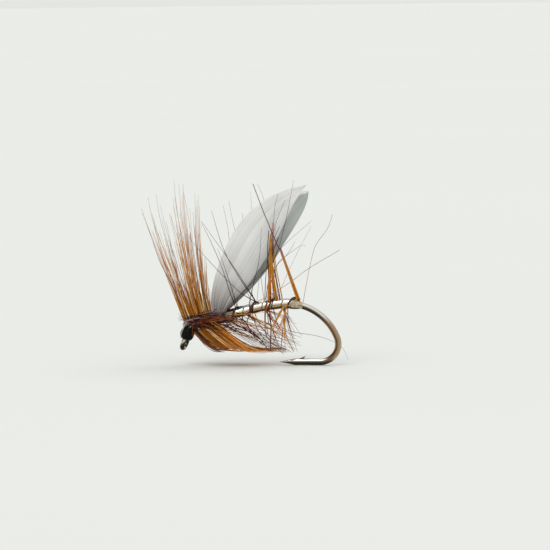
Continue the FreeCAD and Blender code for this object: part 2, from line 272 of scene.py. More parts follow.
class Shader:
    """A material's nodes, with short ways to add and join them."""

    def __init__(self, name):
        self.material = bpy.data.materials.new(name)
        self.material.use_nodes = True
        self.nodes = self.material.node_tree.nodes
        self.links = self.material.node_tree.links
        self.surface = self.nodes["Principled BSDF"]

    def node(self, kind, inputs=(), **settings):
        node = self.nodes.new("ShaderNode" + kind)
        for key, value in settings.items():
            setattr(node, key, value)
        for socket, value in dict(inputs).items():
            if isinstance(value, bpy.types.NodeSocket):
                self.links.new(value, node.inputs[socket])
            else:
                node.inputs[socket].default_value = value
        return node

    def set(self, **values):
        for key, value in values.items():
            socket = self.surface.inputs[key.replace("_", " ")]
            if isinstance(value, bpy.types.NodeSocket):
                self.links.new(value, socket)
            else:
                socket.default_value = value

    def place(self):
        return self.node("TexCoord").outputs["Object"]

    def noise(self, scale, detail=3.0):
        """Noise with features of about 1/scale metres."""
        inputs = {"Vector": self.place(), "Scale": scale, "Detail": detail}
        return self.node("TexNoise", inputs).outputs["Fac"]

    def ramp(self, factor, *marks):
        node = self.node("ValToRGB", {"Fac": factor})
        elements = node.color_ramp.elements
        while len(elements) < len(marks):
            elements.new(0.5)
        for element, (place, colour) in zip(elements, marks):
            element.position = place
            element.color = (*colour, 1.0)
        return node.outputs["Color"]

    def blend(self, share, a, b, kind="MIX"):
        return self.node("Mix", {0: share, 6: a, 7: b}, data_type="RGBA", blend_type=kind).outputs[2]

    def math(self, operation, *values):
        return self.node("Math", dict(enumerate(values)), operation=operation).outputs["Value"]

    def level(self, factor, low, high):
        """factor from 0 to 1 turned into low to high."""
        return self.node("MapRange", {"Value": factor, "To Min": low, "To Max": high}).outputs["Result"]

    def share(self, value, start, stop):
        """How far value is on its way from start to stop, from 0 to 1."""
        return self.node("MapRange", {"Value": value, "From Min": start, "From Max": stop}).outputs["Result"]

    def bump(self, height, depth):
        node = self.node("Bump", {"Height": height, "Distance": depth, "Strength": 0.6})
        self.links.new(node.outputs["Normal"], self.surface.inputs["Normal"])


def grey(level):
    return (level, level, level)


def stops(*rows):
    """A ramp's stops, from rows of a place and a colour's display levels."""
    return [(place, linear(*levels)) for place, *levels in rows]


def hair_material(name, roughness, shine):
    s = Shader(name)
    tint = s.node("Attribute", attribute_name="tint").outputs["Color"]
    mottle = s.ramp(s.noise(2600, 4), (0.3, grey(0.84)), (0.7, grey(1.0)))
    s.set(Base_Color=s.blend(1.0, tint, mottle, "MULTIPLY"), Specular_IOR_Level=shine)
    s.set(Roughness=s.level(s.noise(1500), roughness - 0.08, roughness + 0.10))
    s.bump(s.noise(9000, 2), 0.00001)
    return s.material


def wing_material(name):
    s = Shader(name)
    tint = s.node("Attribute", attribute_name="tint").outputs["Color"]
    mottle = s.ramp(s.noise(420, 4), (0.3, grey(0.96)), (0.7, grey(1.0)))
    s.set(Base_Color=s.blend(1.0, tint, mottle, "MULTIPLY"), Specular_IOR_Level=0.40)
    s.set(Roughness=s.level(s.noise(900), 0.50, 0.68))
    s.bump(s.noise(14000, 2), 0.00001)
    return s.material


def plate_material(name, bands, roughness, wrinkle):
    """Metal coloured in long bands by which way its surface faces: painted highlights along the outside of
    the wire, painted shade and reflections along its inside.
    """
    s = Shader(name)
    place = s.node("SeparateXYZ", {"Vector": s.place()}).outputs
    past = s.math("MAXIMUM", s.math("SUBTRACT", place["X"], BEND_STARTS_X * MM), 0.0)
    above = s.math("ABSOLUTE", s.math("SUBTRACT", place["Z"], BEND_MIDDLE_Z * MM))
    outside = s.node("CombineXYZ", {"X": past, "Z": above}).outputs["Vector"]
    outside = s.node("VectorMath", {0: outside}, operation="NORMALIZE").outputs["Vector"]
    normal = s.node("NewGeometry").outputs["Normal"]
    facing = s.node("VectorMath", {0: normal, 1: outside}, operation="DOT_PRODUCT").outputs["Value"]
    # noise that moves where each painted reflection band lies
    reflection_wobble = s.level(s.noise(1100, 4), -0.035, 0.035)
    band = s.math("ADD", s.share(facing, -1.0, 1.0), reflection_wobble)
    # a painted warm reflection on the bend, between two heights
    low_bend, warm_reflection_low, warm_reflection_high, high_bend = (z * MM for z in BEND_WARM_REFLECTION_Z)
    rise = s.share(place["Z"], low_bend, warm_reflection_low)
    fall = s.share(place["Z"], high_bend, warm_reflection_high)
    in_bend = s.math("GREATER_THAN", past, 0.0)
    warm_reflection = s.math("MULTIPLY", s.math("MULTIPLY", rise, fall), in_bend)
    tone = s.blend(warm_reflection, s.ramp(band, *bands), s.ramp(band, *BEND_REFLECTION_STOPS))
    # the eye gets its own painted highlight bands
    behind_eye = s.math("GREATER_THAN", place["X"], EYE_ENDS_X * MM)
    s.set(Base_Color=s.blend(behind_eye, s.ramp(band, *EYE_REFLECTION_STOPS), tone), Metallic=1.0)
    s.set(Roughness=s.level(s.noise(2400, 4), roughness * 0.7, roughness * 1.3))
    s.bump(s.noise(3500, 3), wrinkle)
    return s.material


def thread_material(name, colour, coat):
    s = Shader(name)
    shade = s.ramp(s.noise(5200, 3), (0.3, colour * 0.75), (0.7, colour * 1.15))
    s.set(Base_Color=shade, Specular_IOR_Level=0.25, Coat_Weight=coat, Coat_Roughness=0.06)
    s.set(Roughness=s.level(s.noise(4000), 0.30, 0.50))
    s.bump(s.noise(12000, 2), 0.00001)
    return s.material


def varnish_material(name):
    """Glossy film over the black thread, near-black in shades that vary at random."""
    s = Shader(name)
    film = s.ramp(s.noise(1800, 2), *stops((0.3, 4, 3, 3), (0.7, 16, 12, 12)))
    s.set(Base_Color=film, Alpha=0.6, Specular_IOR_Level=0.10, Coat_Weight=0.05, Coat_Roughness=0.03)
    s.set(Roughness=s.level(s.noise(1500), 0.05, 0.16))
    s.bump(s.noise(1800, 2), 0.00002)
    return s.material


def floor_material(name):
    s = Shader(name)
    tone = s.ramp(s.noise(6, 3), (0.3, (0.735, 0.745, 0.735)), (0.7, (0.745, 0.755, 0.745)))
    s.set(Base_Color=tone, Roughness=0.9, Specular_IOR_Level=0.1)
    return s.material


# painted reflections on the metal: bands of painted highlight and shade by which way the surface faces, from
# the inside of the wire or strip to its outside
BEND_STARTS_X = 10.6
BEND_MIDDLE_Z = 0.1
# the heights of the bend's painted warm reflection
BEND_WARM_REFLECTION_Z = (-1.7, -1.0, 1.7, 2.5)  # golden between the middle two, and back to bright by the outer two
EYE_ENDS_X = 0.9
EYE_REFLECTION_STOPS = stops(
    (0.04, 20, 18, 14), (0.30, 46, 42, 34), (0.48, 84, 80, 70), (0.62, 218, 214, 204),
    (0.78, 92, 88, 78), (0.95, 30, 28, 24),
)
WIRE_REFLECTION_STOPS = stops(
    (0.02, 120, 112, 100), (0.12, 120, 108, 94), (0.22, 60, 52, 42), (0.40, 62, 55, 45),
    (0.52, 98, 92, 82), (0.64, 190, 184, 174), (0.76, 255, 250, 242), (0.88, 206, 200, 194),
    (0.97, 150, 148, 142),
)
BEND_REFLECTION_STOPS = stops(
    (0.02, 110, 92, 74), (0.12, 186, 160, 132), (0.24, 150, 118, 86), (0.36, 66, 44, 24),
    (0.46, 120, 92, 64), (0.58, 168, 136, 106), (0.74, 166, 138, 110), (0.88, 186, 170, 142),
    (0.97, 140, 130, 112),
)
TINSEL_REFLECTION_STOPS = stops(
    (0.02, 72, 48, 24), (0.20, 110, 84, 56), (0.34, 196, 176, 140), (0.44, 140, 122, 92),
    (0.58, 246, 238, 222), (0.74, 255, 252, 242), (0.90, 204, 198, 186),
)

GINGER_HAIR = hair_material("ginger_hackle", 0.36, 0.16)
BROWN_HAIR = hair_material("brown_hackle", 0.34, 0.12)
WING_FEATHER = wing_material("wing_quill")
# painted highlights and shade in bands, on the wire and on the tinsel
WIRE_PLATE = plate_material("nickel_wire", WIRE_REFLECTION_STOPS, 0.20, 0.000004)
TINSEL = plate_material("silver_tinsel", TINSEL_REFLECTION_STOPS, 0.26, 0.00002)
BLACK_THREAD = thread_material("black_thread", linear(10, 6, 6), 0.0)
TAN_THREAD = thread_material("tan_thread", linear(206, 192, 164), 0.5)
QUILL = thread_material("hackle_quill", linear(80, 38, 24), 0.05)
VARNISH = varnish_material("clear_varnish")


# ---- hackle


def hackle_line(root, out, back, sweep, length, curl, floor):
    """A barb that leaves the wire at a sweep and curls steadily, and lies along the floor if it meets it."""
    count = 12
    turn = np.radians(sweep + curl * (np.arange(count) + 0.5) / count)
    steps = out[None] * np.cos(turn)[:, None] + back[None] * np.sin(turn)[:, None]
    points = root + np.vstack([np.zeros(3), np.cumsum(steps, axis=0)]) * length / count
    if floor is not None:
        soft = 0.35
        points[:, 2] = floor + soft * np.logaddexp(0.0, (points[:, 2] - floor) / soft)
    return points


def shade(start, middle, end, count):
    """Colours along a barb: start for its first third, then through middle to end."""
    share = np.linspace(0, 1, count)
    rows = np.array((start, start, middle, end))
    return np.stack([np.interp(share, (0.0, 0.35, 0.75, 1.0), rows[:, i]) for i in range(3)], 1)


def taper(root_r, tip_r, count, power=0.8):
    return root_r + (tip_r - root_r) * np.linspace(0, 1, count) ** power


def grow(
    skin, rng, root, frame_at, angle, sweep, length, colours, curl,
    sizes, floor=None, sway=0.05, power=0.8,
):
    """One barb from a root. frame_at is the way back along the wire there and the way up from it."""
    root_r = rng.uniform(*sizes)
    back, up = frame_at
    out = outward(up, angle)
    points = hackle_line(root, out, back, sweep, length, curl, floor)
    count = len(points)
    wander = np.sin(np.linspace(0, math.pi * rng.uniform(0.8, 1.8), count)) * rng.uniform(-sway, sway)
    points = points + np.outer(wander, unit(np.cross(out, back) + back * rng.uniform(-1, 1)))
    skin.strand(points, taper(root_r, min(0.012, root_r * 0.5), count, power), shade(*colours, count))


def scatter(rng, size):
    return np.array([rng.uniform(-size, size) for _ in range(3)])


def pick(rng, *choices):
    """One of several (weight, value) choices."""
    at = rng.uniform(0, sum(weight for weight, _ in choices))
    for weight, value in choices:
        at -= weight
        if at <= 0:
            return value
    return choices[-1][1]


def ginger_colours(rng):
    # the CREAM barbs are partly painted highlights
    start = pick(rng, (6, GINGER), (4, OCHRE), (2.5, RUST), (1.8, CREAM), (0.8, DARK))
    start = start * rng.uniform(0.85, 1.08)
    middle = mix(start, pick(rng, (3, TAN), (2, RUST), (1, MAUVE)), rng.uniform(0.2, 0.6))
    return start, middle, mix(middle, UMBER, 0.5)


def dark_colours(rng):
    # the CREAM barbs are partly painted highlights
    start = pick(rng, (2, DARK), (3, MAROON), (3, RUST), (1.4, OCHRE), (1.0, PINK), (0.8, CREAM))
    start = start * rng.uniform(0.8, 1.15)
    middle = mix(start, pick(rng, (2, MAROON), (1, UMBER)), rng.uniform(0.2, 0.6))
    return start, middle, mix(middle, UMBER, 0.5)


def band_colours(rng):
    start = pick(rng, (8, BLACK), (3, DARK), (2.5, MAROON), (1.5, GREY), (1.5, PINK), (3, RUST))
    start = start * rng.uniform(0.75, 1.15)
    return start, mix(start, MAROON, 0.15), mix(start, UMBER, 0.4)


SHANK = wire(wire_at_x(2.0))[1:]  # the way back and the way up under the collar
REST_Z = -0.64  # the surface that the lower barbs lie along

STYLES = {  # root, middle and tip colours, and root and tip sizes
    "dark": ((DARK, MAROON * 0.5, MAROON * 0.8), 0.050, 0.013),
    "fine": ((DARK, DARK, MAROON), 0.040, 0.011),
    "pale": ((MAROON, MAUVE, DUST), 0.026, 0.014),
    "orange": ((GINGER * 0.9, OCHRE * 0.9, RUST), 0.062, 0.034),
    "long": ((DARK, MAROON, MAROON), 0.050, 0.009),
    "thin": ((DARK, MAROON, UMBER), 0.034, 0.009),
    "bundle": ((GINGER, GINGER, RUST), 0.15, 0.09),
    "clump": ((GINGER, OCHRE, RUST), 0.18, 0.06),
    "rosy": ((PINK, MAROON, MAUVE), 0.032, 0.016),
    "red": ((MAROON, DARK, DARK), 0.062, 0.034),
}
NEAR_BODY = 1.3  # a line that starts further out than this isn't led from the body


def rooted(points):
    """The points, led from the body's surface where the first one is close outside it."""
    first = np.array(points[0])
    middle = wire(wire_at_x(first[0]))[0]
    away = first - middle
    size = float(np.linalg.norm(away))
    surface = foundation_r(first[0]) + 0.04
    if surface < size < NEAR_BODY:
        return (tuple(middle + away / size * surface), *points)
    return points


def placed(skin, rng, style, points):
    """A barb along given points, or a bundle or clump of them stuck together."""
    colours, root_r, tip_r = STYLES[style]
    count = 30
    line = curve(rooted(points), count)
    tints = shade(*colours, count)
    if style not in ("bundle", "clump"):
        skin.strand(line, taper(root_r, tip_r, count), tints * rng.uniform(0.85, 1.1))
        return
    for _ in range(20 if style == "bundle" else 9):
        stop = count if style == "bundle" else count - rng.randint(0, 7)
        away = scatter(rng, 1.0) * taper(root_r, tip_r, count)[:, None]
        skin.strand((line + away)[:stop], taper(0.045, 0.016, stop), tints[:stop] * rng.uniform(0.65, 1.2))


# the collar's upper fan: tufts that are tight at the root and open towards their tips
UPPER_RIDGE = np.array(((0.26, 0.0, 1.44), (2.44, 0.0, 2.36)))
UPPER_TUFTS = (  # place along the ridge, lean, curl, reach, how many barbs, how far they spread
    (0.00, -5.6, 1, 12.0, 10, 0.6),
    (0.07, -5.2, 2, 12.6, 11, 0.8),
    (0.14, -4.8, 2, 12.0, 11, 0.9),
    (0.22, -4.4, 3, 12.2, 10, 0.9),
    (0.30, -3.4, 5, 11.0, 9, 1.1),
    (0.38, -2.4, 8, 10.0, 9, 1.2),
    (0.46, -0.2, 9, 13.0, 11, 0.5),
    (0.54, -0.4, 11, 14.0, 14, 0.4),
    (0.61, -0.8, 12, 14.0, 14, 0.4),
    (0.68, -1.4, 13, 12.6, 12, 0.6),
    (0.76, -2.0, 13, 13.0, 10, 0.7),
    (0.84, -0.6, 13, 12.4, 11, 0.8),
    (0.91, 0.6, 13, 13.0, 10, 0.7),
    (0.98, 2.0, 12, 11.8, 10, 0.9),
    (1.00, 3.6, 9, 6.5, 7, 0.5),
)


COLLAR_R = 0.42  # of the wound stem


def fan_root(ridge, place, angle, ridge_angle):
    """A root beside the ridge, down the side of the wound stem that the angle points to."""
    swing = outward(SHANK[1], angle) - outward(SHANK[1], ridge_angle)
    return mix(*ridge, place) + swing * COLLAR_R


FAN_LINES = (  # the long barbs that stand out singly: style, and the points of each one's line
    ("long", (0.01, -0.25, 2.64), (-0.95, -0.74, 5.29), (-1.93, -1.23, 7.4), (-2.62, -1.71, 9.76),
     (-3.37, -2.2, 12.3)),
    ("long", (0.21, -0.3, 2.82), (-0.6, -0.72, 5.11), (-1.49, -1.14, 7.3), (-2.11, -1.56, 9.75),
     (-2.54, -1.98, 11.84), (-2.71, -2.4, 13.3)),
    ("long", (0.3, -0.3, 2.91), (-0.51, -0.68, 5.38), (-1.23, -1.05, 7.38), (-1.95, -1.43, 9.66),
     (-2.49, -1.8, 11.74)),
    ("thin", (0.47, -0.2, 3.09), (-0.44, -0.5, 5.99), (-1.43, -0.8, 9.35), (-1.9, -1.1, 11.34),
     (-2.17, -1.4, 13.51)),
    ("thin", (0.69, 0.1, 3.15), (-0.23, 0.3, 5.67), (-0.96, 0.5, 7.91), (-1.7, 0.7, 10.34),
     (-2.26, 0.9, 12.4)),
    ("thin", (1.2, -0.2, 3.36), (0.38, -0.47, 6.44), (-0.18, -0.73, 8.8), (-0.91, -1.0, 11.51)),
    ("thin", (1.4, -0.3, 3.46), (0.59, -0.62, 6.45), (0.14, -0.95, 9.35), (-0.31, -1.28, 11.88),
     (-0.48, -1.6, 14.68)),
    ("long", (1.59, -0.3, 3.55), (0.88, -0.7, 6.46), (0.54, -1.1, 9.36), (0.37, -1.5, 12.07),
     (0.39, -1.9, 14.42)),
    ("thin", (1.75, -0.2, 3.54), (1.2, -0.45, 6.17), (0.91, -0.7, 8.88), (0.63, -0.95, 11.59),
     (0.25, -1.2, 13.85)),
    ("thin", (2.13, -0.3, 3.37), (1.58, -0.6, 5.82), (1.31, -0.9, 8.54), (1.35, -1.2, 10.98),
     (1.39, -1.5, 13.59)),
    ("thin", (2.14, 0.2, 3.42), (1.57, 0.48, 5.83), (1.29, 0.75, 8.43), (1.18, 1.03, 10.85),
     (1.06, 1.3, 12.37)),
)

upper = Skin()
rng = random.Random(11)
for place, lean, curl, reach, barbs, spread in UPPER_TUFTS:
    angle = rng.uniform(-24, 24)
    for _ in range(barbs):
        own = angle + rng.uniform(-5, 5)
        root = fan_root(UPPER_RIDGE, place, own, 0) + scatter(rng, 0.10)
        grow(
            upper, rng, root, SHANK, own, lean + rng.uniform(-1.5, 1.5) * spread,
            reach * (1.02 - 0.80 * rng.random() ** 0.5), ginger_colours(rng),
            curl + rng.uniform(-1.5, 1.5) * spread, sizes=(0.056, 0.086), sway=0.03, power=0.42,
        )
LOOSE_BARBS = 80  # two short and thick for each long and thin one
for i in range(LOOSE_BARBS):
    place = rng.random()
    own = rng.uniform(-36, 36)
    root = fan_root(UPPER_RIDGE, place, own, 0) + scatter(rng, 0.10)
    reaches, sizes = ((2.0, 4.5), (0.060, 0.080)) if i % 3 else ((5.5, 11.5), (0.028, 0.038))
    grow(
        upper, rng, root, SHANK, own, -5 + 7 * place + rng.uniform(-1.0, 1.0), rng.uniform(*reaches),
        ginger_colours(rng), 12 * place + rng.uniform(-2, 2), sizes=sizes, sway=0.03,
    )
RIDGE_START_X, RIDGE_STOP_X = UPPER_RIDGE[:, 0]
for style, first, *points in FAN_LINES:
    place = (first[0] + 0.25 - RIDGE_START_X) / (RIDGE_STOP_X - RIDGE_START_X)
    placed(upper, rng, style, (mix(*UPPER_RIDGE, min(place, 1.0)), first, *points))
upper.make("collar_hackle_upper", GINGER_HAIR, "ginger_hackle", "collar_barbs_upper")

# the sides: barbs pressed back and down along the body by the turns in front of them
SIDE_RIDGE = np.array(((0.50, 0.0, 1.66), (2.55, 0.0, 2.16)))
SIDE_BARBS = 84  # one in six of them longer, and swept less
COVER_BARBS = 52  # short ones higher up, over the roots of the rest
STRAY_BARBS = 10


def side_root(place, angle, radius):
    return mix(*SIDE_RIDGE, place) + outward(SHANK[1], angle) * radius


for side, way in ((1, "left"), (-1, "right")):
    skin = Skin()
    rng = random.Random(21 + side)
    for i in range(SIDE_BARBS):
        angle = side * rng.uniform(84, 146)
        place = rng.random()
        root = side_root(place, side * rng.uniform(60, 140), 0.5) + scatter(rng, 0.08)
        sweeps, reaches = ((68, 82), (1.4, 3.2)) if i % 6 else ((46, 62), (3.0, 5.5))
        grow(
            skin, rng, root, SHANK, angle, rng.uniform(*sweeps), rng.uniform(*reaches), band_colours(rng),
            rng.uniform(-8, 8), floor=REST_Z + 0.02, sizes=(0.030, 0.052),
        )
    for _ in range(COVER_BARBS):
        place = rng.uniform(-0.18, 0.62)
        root = side_root(place, side * rng.uniform(22, 66), rng.uniform(0.60, 0.92)) + scatter(rng, 0.06)
        grow(
            skin, rng, root, SHANK, side * rng.uniform(96, 150), rng.uniform(72, 88), rng.uniform(1.2, 2.8),
            band_colours(rng), rng.uniform(-8, 8), sizes=(0.030, 0.050),
        )
    for _ in range(STRAY_BARBS):
        root = side_root(rng.uniform(0.2, 1.0), side * 90, 0.5)
        grow(
            skin, rng, root, SHANK, side * rng.uniform(84, 112), rng.uniform(4, 42), rng.uniform(5.6, 7.2),
            dark_colours(rng), rng.uniform(0, 8), sizes=(0.026, 0.038),
        )
    skin.make(f"collar_hackle_{way}", GINGER_HAIR, "ginger_hackle", f"collar_barbs_{way}")

# the lower fan: swept back and spread along the surface the fly stands on
LOWER_RIDGE = np.array(((0.78, 0.0, 1.02), (3.05, 0.0, 1.66)))
LOWER_TUFTS = 24
# painted light and shade on the lower fan: the foremost tufts' colours darkened, the rest brightened to make
# up for the shade the fly casts on them
LOWER_PAINTED_LIGHT = (0.6, 1.3)  # how bright the foremost tufts are, and the rest
REAR_BARBS = 26  # thin ones that lie further back
REAR_BARBS_END_X = 10.2
lower = Skin()
rng = random.Random(31)
for i in range(LOWER_TUFTS):
    place = (i + 0.5) / LOWER_TUFTS
    angle = rng.uniform(148, 212)
    sweep = 29 + 8 * place + rng.uniform(-2, 2)
    reach = rng.uniform(3.6, 6.6) + 1.6 * place
    for _ in range(10):
        colours = ginger_colours(rng)
        if place < 0.35:
            colours = tuple(mix(c, MAROON, 0.70 - place) for c in colours)
        # painted light: each tuft's colours scaled by where it stands
        colours = tuple(c * LOWER_PAINTED_LIGHT[place > 0.2] for c in colours)
        own = angle + rng.uniform(-7, 7)
        root = fan_root(LOWER_RIDGE, place, own, 180) + scatter(rng, 0.12)
        grow(
            lower, rng, root, SHANK, own, sweep + rng.uniform(-2.5, 2.5), reach * rng.uniform(0.75, 1.08),
            colours, rng.uniform(-4, 8), floor=REST_Z, sizes=(0.040, 0.064),
        )
for _ in range(REAR_BARBS):
    place = rng.uniform(0.5, 1.6)
    own = rng.uniform(135, 225)
    root = fan_root(LOWER_RIDGE, place, own, 180) + scatter(rng, 0.15)
    root[2] += rng.uniform(0, 0.5)
    grow(
        lower, rng, root, SHANK, own, rng.uniform(38, 53),
        (REAR_BARBS_END_X - root[0]) * rng.uniform(0.85, 1.2), dark_colours(rng), rng.uniform(-4, 8),
        floor=REST_Z - 0.08, sizes=(0.026, 0.038), sway=0.01,
    )
lower.make("collar_hackle_lower", GINGER_HAIR, "ginger_hackle", "collar_barbs_lower")

# the body hackle: each turn of its stem has its own barbs, and the single ones have lines of their own
TURN_LINES = {
    1: (
        ("fine", (4.18, -0.5, 3.38), (6.89, -0.8, 6.01), (8.37, -1.1, 7.51), (9.33, -1.4, 8.84),
         (11.99, -2.0, 11.12)),
        ("dark", (4.71, -0.45, 3.41), (4.23, -0.69, 4.84), (3.62, -0.93, 6.95), (2.64, -1.16, 9.36),
         (1.89, -1.4, 10.99)),
        ("dark", (4.87, -0.45, 3.41), (4.5, -0.8, 4.92), (3.89, -1.15, 7.02), (3.37, -1.5, 8.63)),
        ("fine", (4.83, -0.5, 2.88), (5.44, -0.6, 1.92), (6.35, -0.7, 0.88), (7.86, -0.8, -0.07),
         (9.67, -0.9, -0.73)),
        ("fine", (4.6, -0.5, 2.51), (5.6, -0.68, 1.4), (6.82, -0.85, 0.52), (8.26, -1.02, -0.35),
         (9.41, -1.2, -0.71)),
        ("fine", (4.08, -0.6, 1.99), (5.01, -0.8, 1.11), (6.39, -1.0, 0.24), (7.92, -1.2, -0.41),
         (9.29, -1.4, -0.76)),
        ("fine", (4.32, -0.5, 1.98), (5.95, -0.7, 1.12), (7.59, -0.95, 0.2), (9.04, -1.25, -0.64)),
        ("fine", (4.68, -0.45, 2.2), (6.5, -0.75, 1.1), (8.23, -1.1, 0.0), (9.55, -1.4, -0.74)),
        ("dark", (5.04, -0.5, 2.4), (7.04, -0.8, 1.0), (8.68, -1.05, -0.06), (10.05, -1.3, -0.74)),
        ("fine", (3.95, -0.45, 1.7), (5.4, -0.85, 0.66), (7.04, -1.3, -0.16), (8.3, -1.7, -0.66)),
    ),
    2: (
        ("dark", (6.8, -0.45, 3.65), (5.2, -0.81, 4.67), (3.2, -1.18, 6.76), (1.32, -1.54, 8.94),
         (0.82, -1.9, 9.77)),
        ("dark", (6.57, -0.4, 3.83), (6.01, -0.83, 4.88), (4.38, -1.25, 7.53), (3.32, -1.68, 9.17),
         (2.03, -2.1, 11.13)),
        ("dark", (6.53, -0.4, 3.83), (5.02, -1.03, 6.29), (3.89, -1.67, 8.7), (3.01, -2.3, 12.06)),
        ("fine", (6.02, -0.4, 3.71), (6.48, -0.7, 5.44), (6.97, -1.0, 7.17), (7.24, -1.3, 8.9),
         (7.37, -1.6, 10.49)),
        ("pale", (5.99, 0.4, 3.84), (5.16, 0.7, 5.71), (4.14, 1.0, 8.66), (3.84, 1.3, 10.33),
         (3.39, 1.6, 12.35)),
        ("pale", (6.29, 0.4, 3.94), (5.27, 0.75, 7.09), (4.5, 1.1, 10.2), (4.17, 1.45, 11.5),
         (3.89, 1.8, 12.72)),
        ("red", (6.05, -0.5, 3.4), (6.02, -0.65, 2.52), (5.85, -0.8, 1.94), (6.31, -0.95, 0.9),
         (7.3, -1.1, -0.05)),
        ("dark", (6.22, -0.45, 3.25), (6.35, -0.56, 2.51), (6.73, -0.68, 1.4), (7.48, -0.79, 0.37),
         (9.29, -0.9, -0.66)),
        ("dark", (6.46, -0.3, 2.71), (7.05, -0.37, 1.53), (8.1, -0.43, 0.42), (9.61, -0.5, -0.62)),
        ("fine", (5.95, -0.5, 2.5), (7.04, -0.75, 1.55), (8.3, -1.05, 0.27), (9.4, -1.35, -0.7)),
        ("red", (5.4, -0.45, 2.2), (6.3, -0.8, 1.1), (7.1, -1.1, 0.4), (7.95, -1.45, -0.6)),
    ),
    3: (
        ("rosy", (6.86, -0.4, 3.83), (7.83, -0.7, 4.29), (9.86, -1.0, 5.58), (11.64, -1.3, 6.85),
         (14.4, -1.6, 8.46)),
        ("clump", (7.78, -0.4, 4.2), (7.93, -0.77, 6.5), (8.1, -1.13, 9.48), (8.47, -1.5, 10.38)),
        ("orange", (7.98, -0.4, 4.2), (8.03, -0.77, 6.5), (8.14, -1.13, 9.2), (8.4, -1.5, 10.9)),
        ("clump", (8.4, -0.3, 4.24), (8.22, -0.85, 6.41), (8.19, -1.4, 8.9)),
        ("orange", (8.2, -0.3, 4.24), (8.12, -0.85, 6.41), (8.12, -1.4, 8.7)),
        ("red", (7.95, -0.45, 4.2), (7.83, -0.8, 6.6), (7.85, -1.1, 8.7), (8.0, -1.3, 10.2)),
        ("red", (8.35, -0.4, 4.25), (8.15, -0.8, 6.5), (8.35, -1.1, 8.3), (8.9, -1.4, 9.6)),
        ("dark", (8.75, -0.3, 4.3), (8.45, -0.7, 6.0), (8.2, -1.1, 7.8), (8.45, -1.3, 9.4),
         (9.05, -1.5, 10.6)),
        ("fine", (7.52, -0.4, 4.04), (8.0, -0.59, 6.58), (8.91, -0.96, 8.94), (9.63, -1.34, 11.45),
         (10.38, -1.9, 14.71)),
        ("fine", (7.43, -0.5, 4.01), (7.73, -0.88, 7.2), (8.42, -1.25, 10.07), (8.92, -1.62, 11.47),
         (9.61, -2.0, 12.96)),
        ("pale", (7.19, 0.4, 4.04), (6.76, 0.78, 6.89), (6.15, 1.15, 10.63), (5.97, 1.52, 12.79),
         (5.87, 1.9, 13.49)),
        ("fine", (7.7, -0.3, 4.19), (8.15, -0.48, 5.98), (8.56, -0.66, 7.01), (9.57, -0.84, 8.05),
         (10.37, -1.2, 9.23)),
        ("fine", (4.9, -0.45, 2.75), (6.3, -0.55, 2.1), (7.89, -0.6, 1.78), (9.9, -0.15, 1.04),
         (12.36, 0.3, 0.54), (14.1, 0.75, -0.35), (14.66, 1.2, -1.6)),
        ("red", (7.7, -0.45, 3.92), (7.48, -0.54, 3.26), (7.44, -0.63, 1.92), (7.55, -0.72, 0.81),
         (8.23, -0.81, 0.0), (9.37, -0.9, -0.51)),
        ("red", (7.77, -0.45, 3.25), (7.96, -0.57, 1.92), (7.96, -0.68, 0.66), (7.94, -0.8, -0.67)),
        ("dark", (7.68, -0.4, 3.24), (7.75, -0.47, 1.91), (8.5, -0.53, 0.8), (10.07, -0.6, -0.68)),
        ("orange", (7.6, -0.45, 3.4), (7.52, -0.54, 2.9), (7.5, -0.63, 1.92), (7.72, -0.72, 0.9)),
    ),
    4: (
        ("bundle", (10.39, -0.15, 4.02), (9.73, -0.7, 6.2), (9.01, -1.25, 8.55)),
        ("red", (9.02, -1.3, 8.55), (8.79, -1.44, 8.85), (8.07, -1.58, 10.69), (7.56, -1.72, 12.01),
         (6.73, -2.0, 14.41)),
        ("orange", (8.92, -0.2, 4.28), (8.55, -0.75, 6.79), (8.37, -1.3, 9.19)),
        ("orange", (8.7, -0.2, 4.28), (8.42, -0.75, 6.79), (8.3, -1.3, 9.4)),
        ("pale", (8.51, 0.3, 4.25), (8.18, 0.68, 6.4), (7.76, 1.05, 9.84), (7.13, 1.43, 12.87),
         (6.53, 1.8, 14.23)),
        ("fine", (8.32, -0.4, 4.2), (8.22, -0.75, 7.98), (8.41, -1.1, 10.85), (8.62, -1.45, 12.44),
         (8.97, -1.8, 13.5)),
        ("pale", (8.1, -0.3, 4.19), (8.35, -0.45, 6.18), (8.71, -0.6, 7.27), (9.28, -0.75, 7.77),
         (10.86, -1.05, 8.85), (11.23, -1.2, 8.75)),
        ("rosy", (10.83, 0.1, 3.79), (11.15, 0.32, 5.58), (11.49, 0.54, 7.29), (11.93, 0.76, 8.77),
         (12.96, 0.98, 10.22), (13.41, 1.2, 11.49)),
        ("orange", (9.34, -0.45, 3.25), (9.24, -0.61, 2.15), (9.37, -0.78, 0.82), (9.76, -0.94, -0.06),
         (10.07, -1.1, -0.64)),
        ("dark", (9.49, -0.4, 3.1), (9.57, -0.57, 1.92), (9.96, -0.73, 0.52), (10.42, -0.9, -0.73)),
        ("orange", (9.13, -0.5, 3.25), (8.69, -0.62, 2.44), (8.36, -0.75, 1.78), (8.18, -0.88, 0.9),
         (8.34, -1.0, 0.24)),
        ("orange", (8.98, -0.5, 3.18), (8.55, -0.73, 2.38), (8.13, -0.97, 1.43), (8.08, -1.2, 0.56)),
        ("orange", (9.27, -0.5, 2.88), (8.93, -0.77, 1.93), (8.58, -1.03, 1.06), (8.31, -1.3, 0.12)),
        ("dark", (8.1, 0.3, 2.97), (8.36, 0.42, 1.84), (8.79, 0.55, 1.0), (9.36, 0.68, 0.1),
         (9.86, 0.8, -0.51)),
    ),
}
PALMER_WHOLE = math.ceil(PALMER_TURNS)
BARBS_PER_TURN = 24
UNDER = (100, 260)  # the angles round the shank that are under it
UPPER_RIGHT = 275  # and the angle where its upper right starts
SWEEP_GAIN, SWEEP_LIMIT = 80, 62  # how much further back the lower barbs lie at the front turn, at most
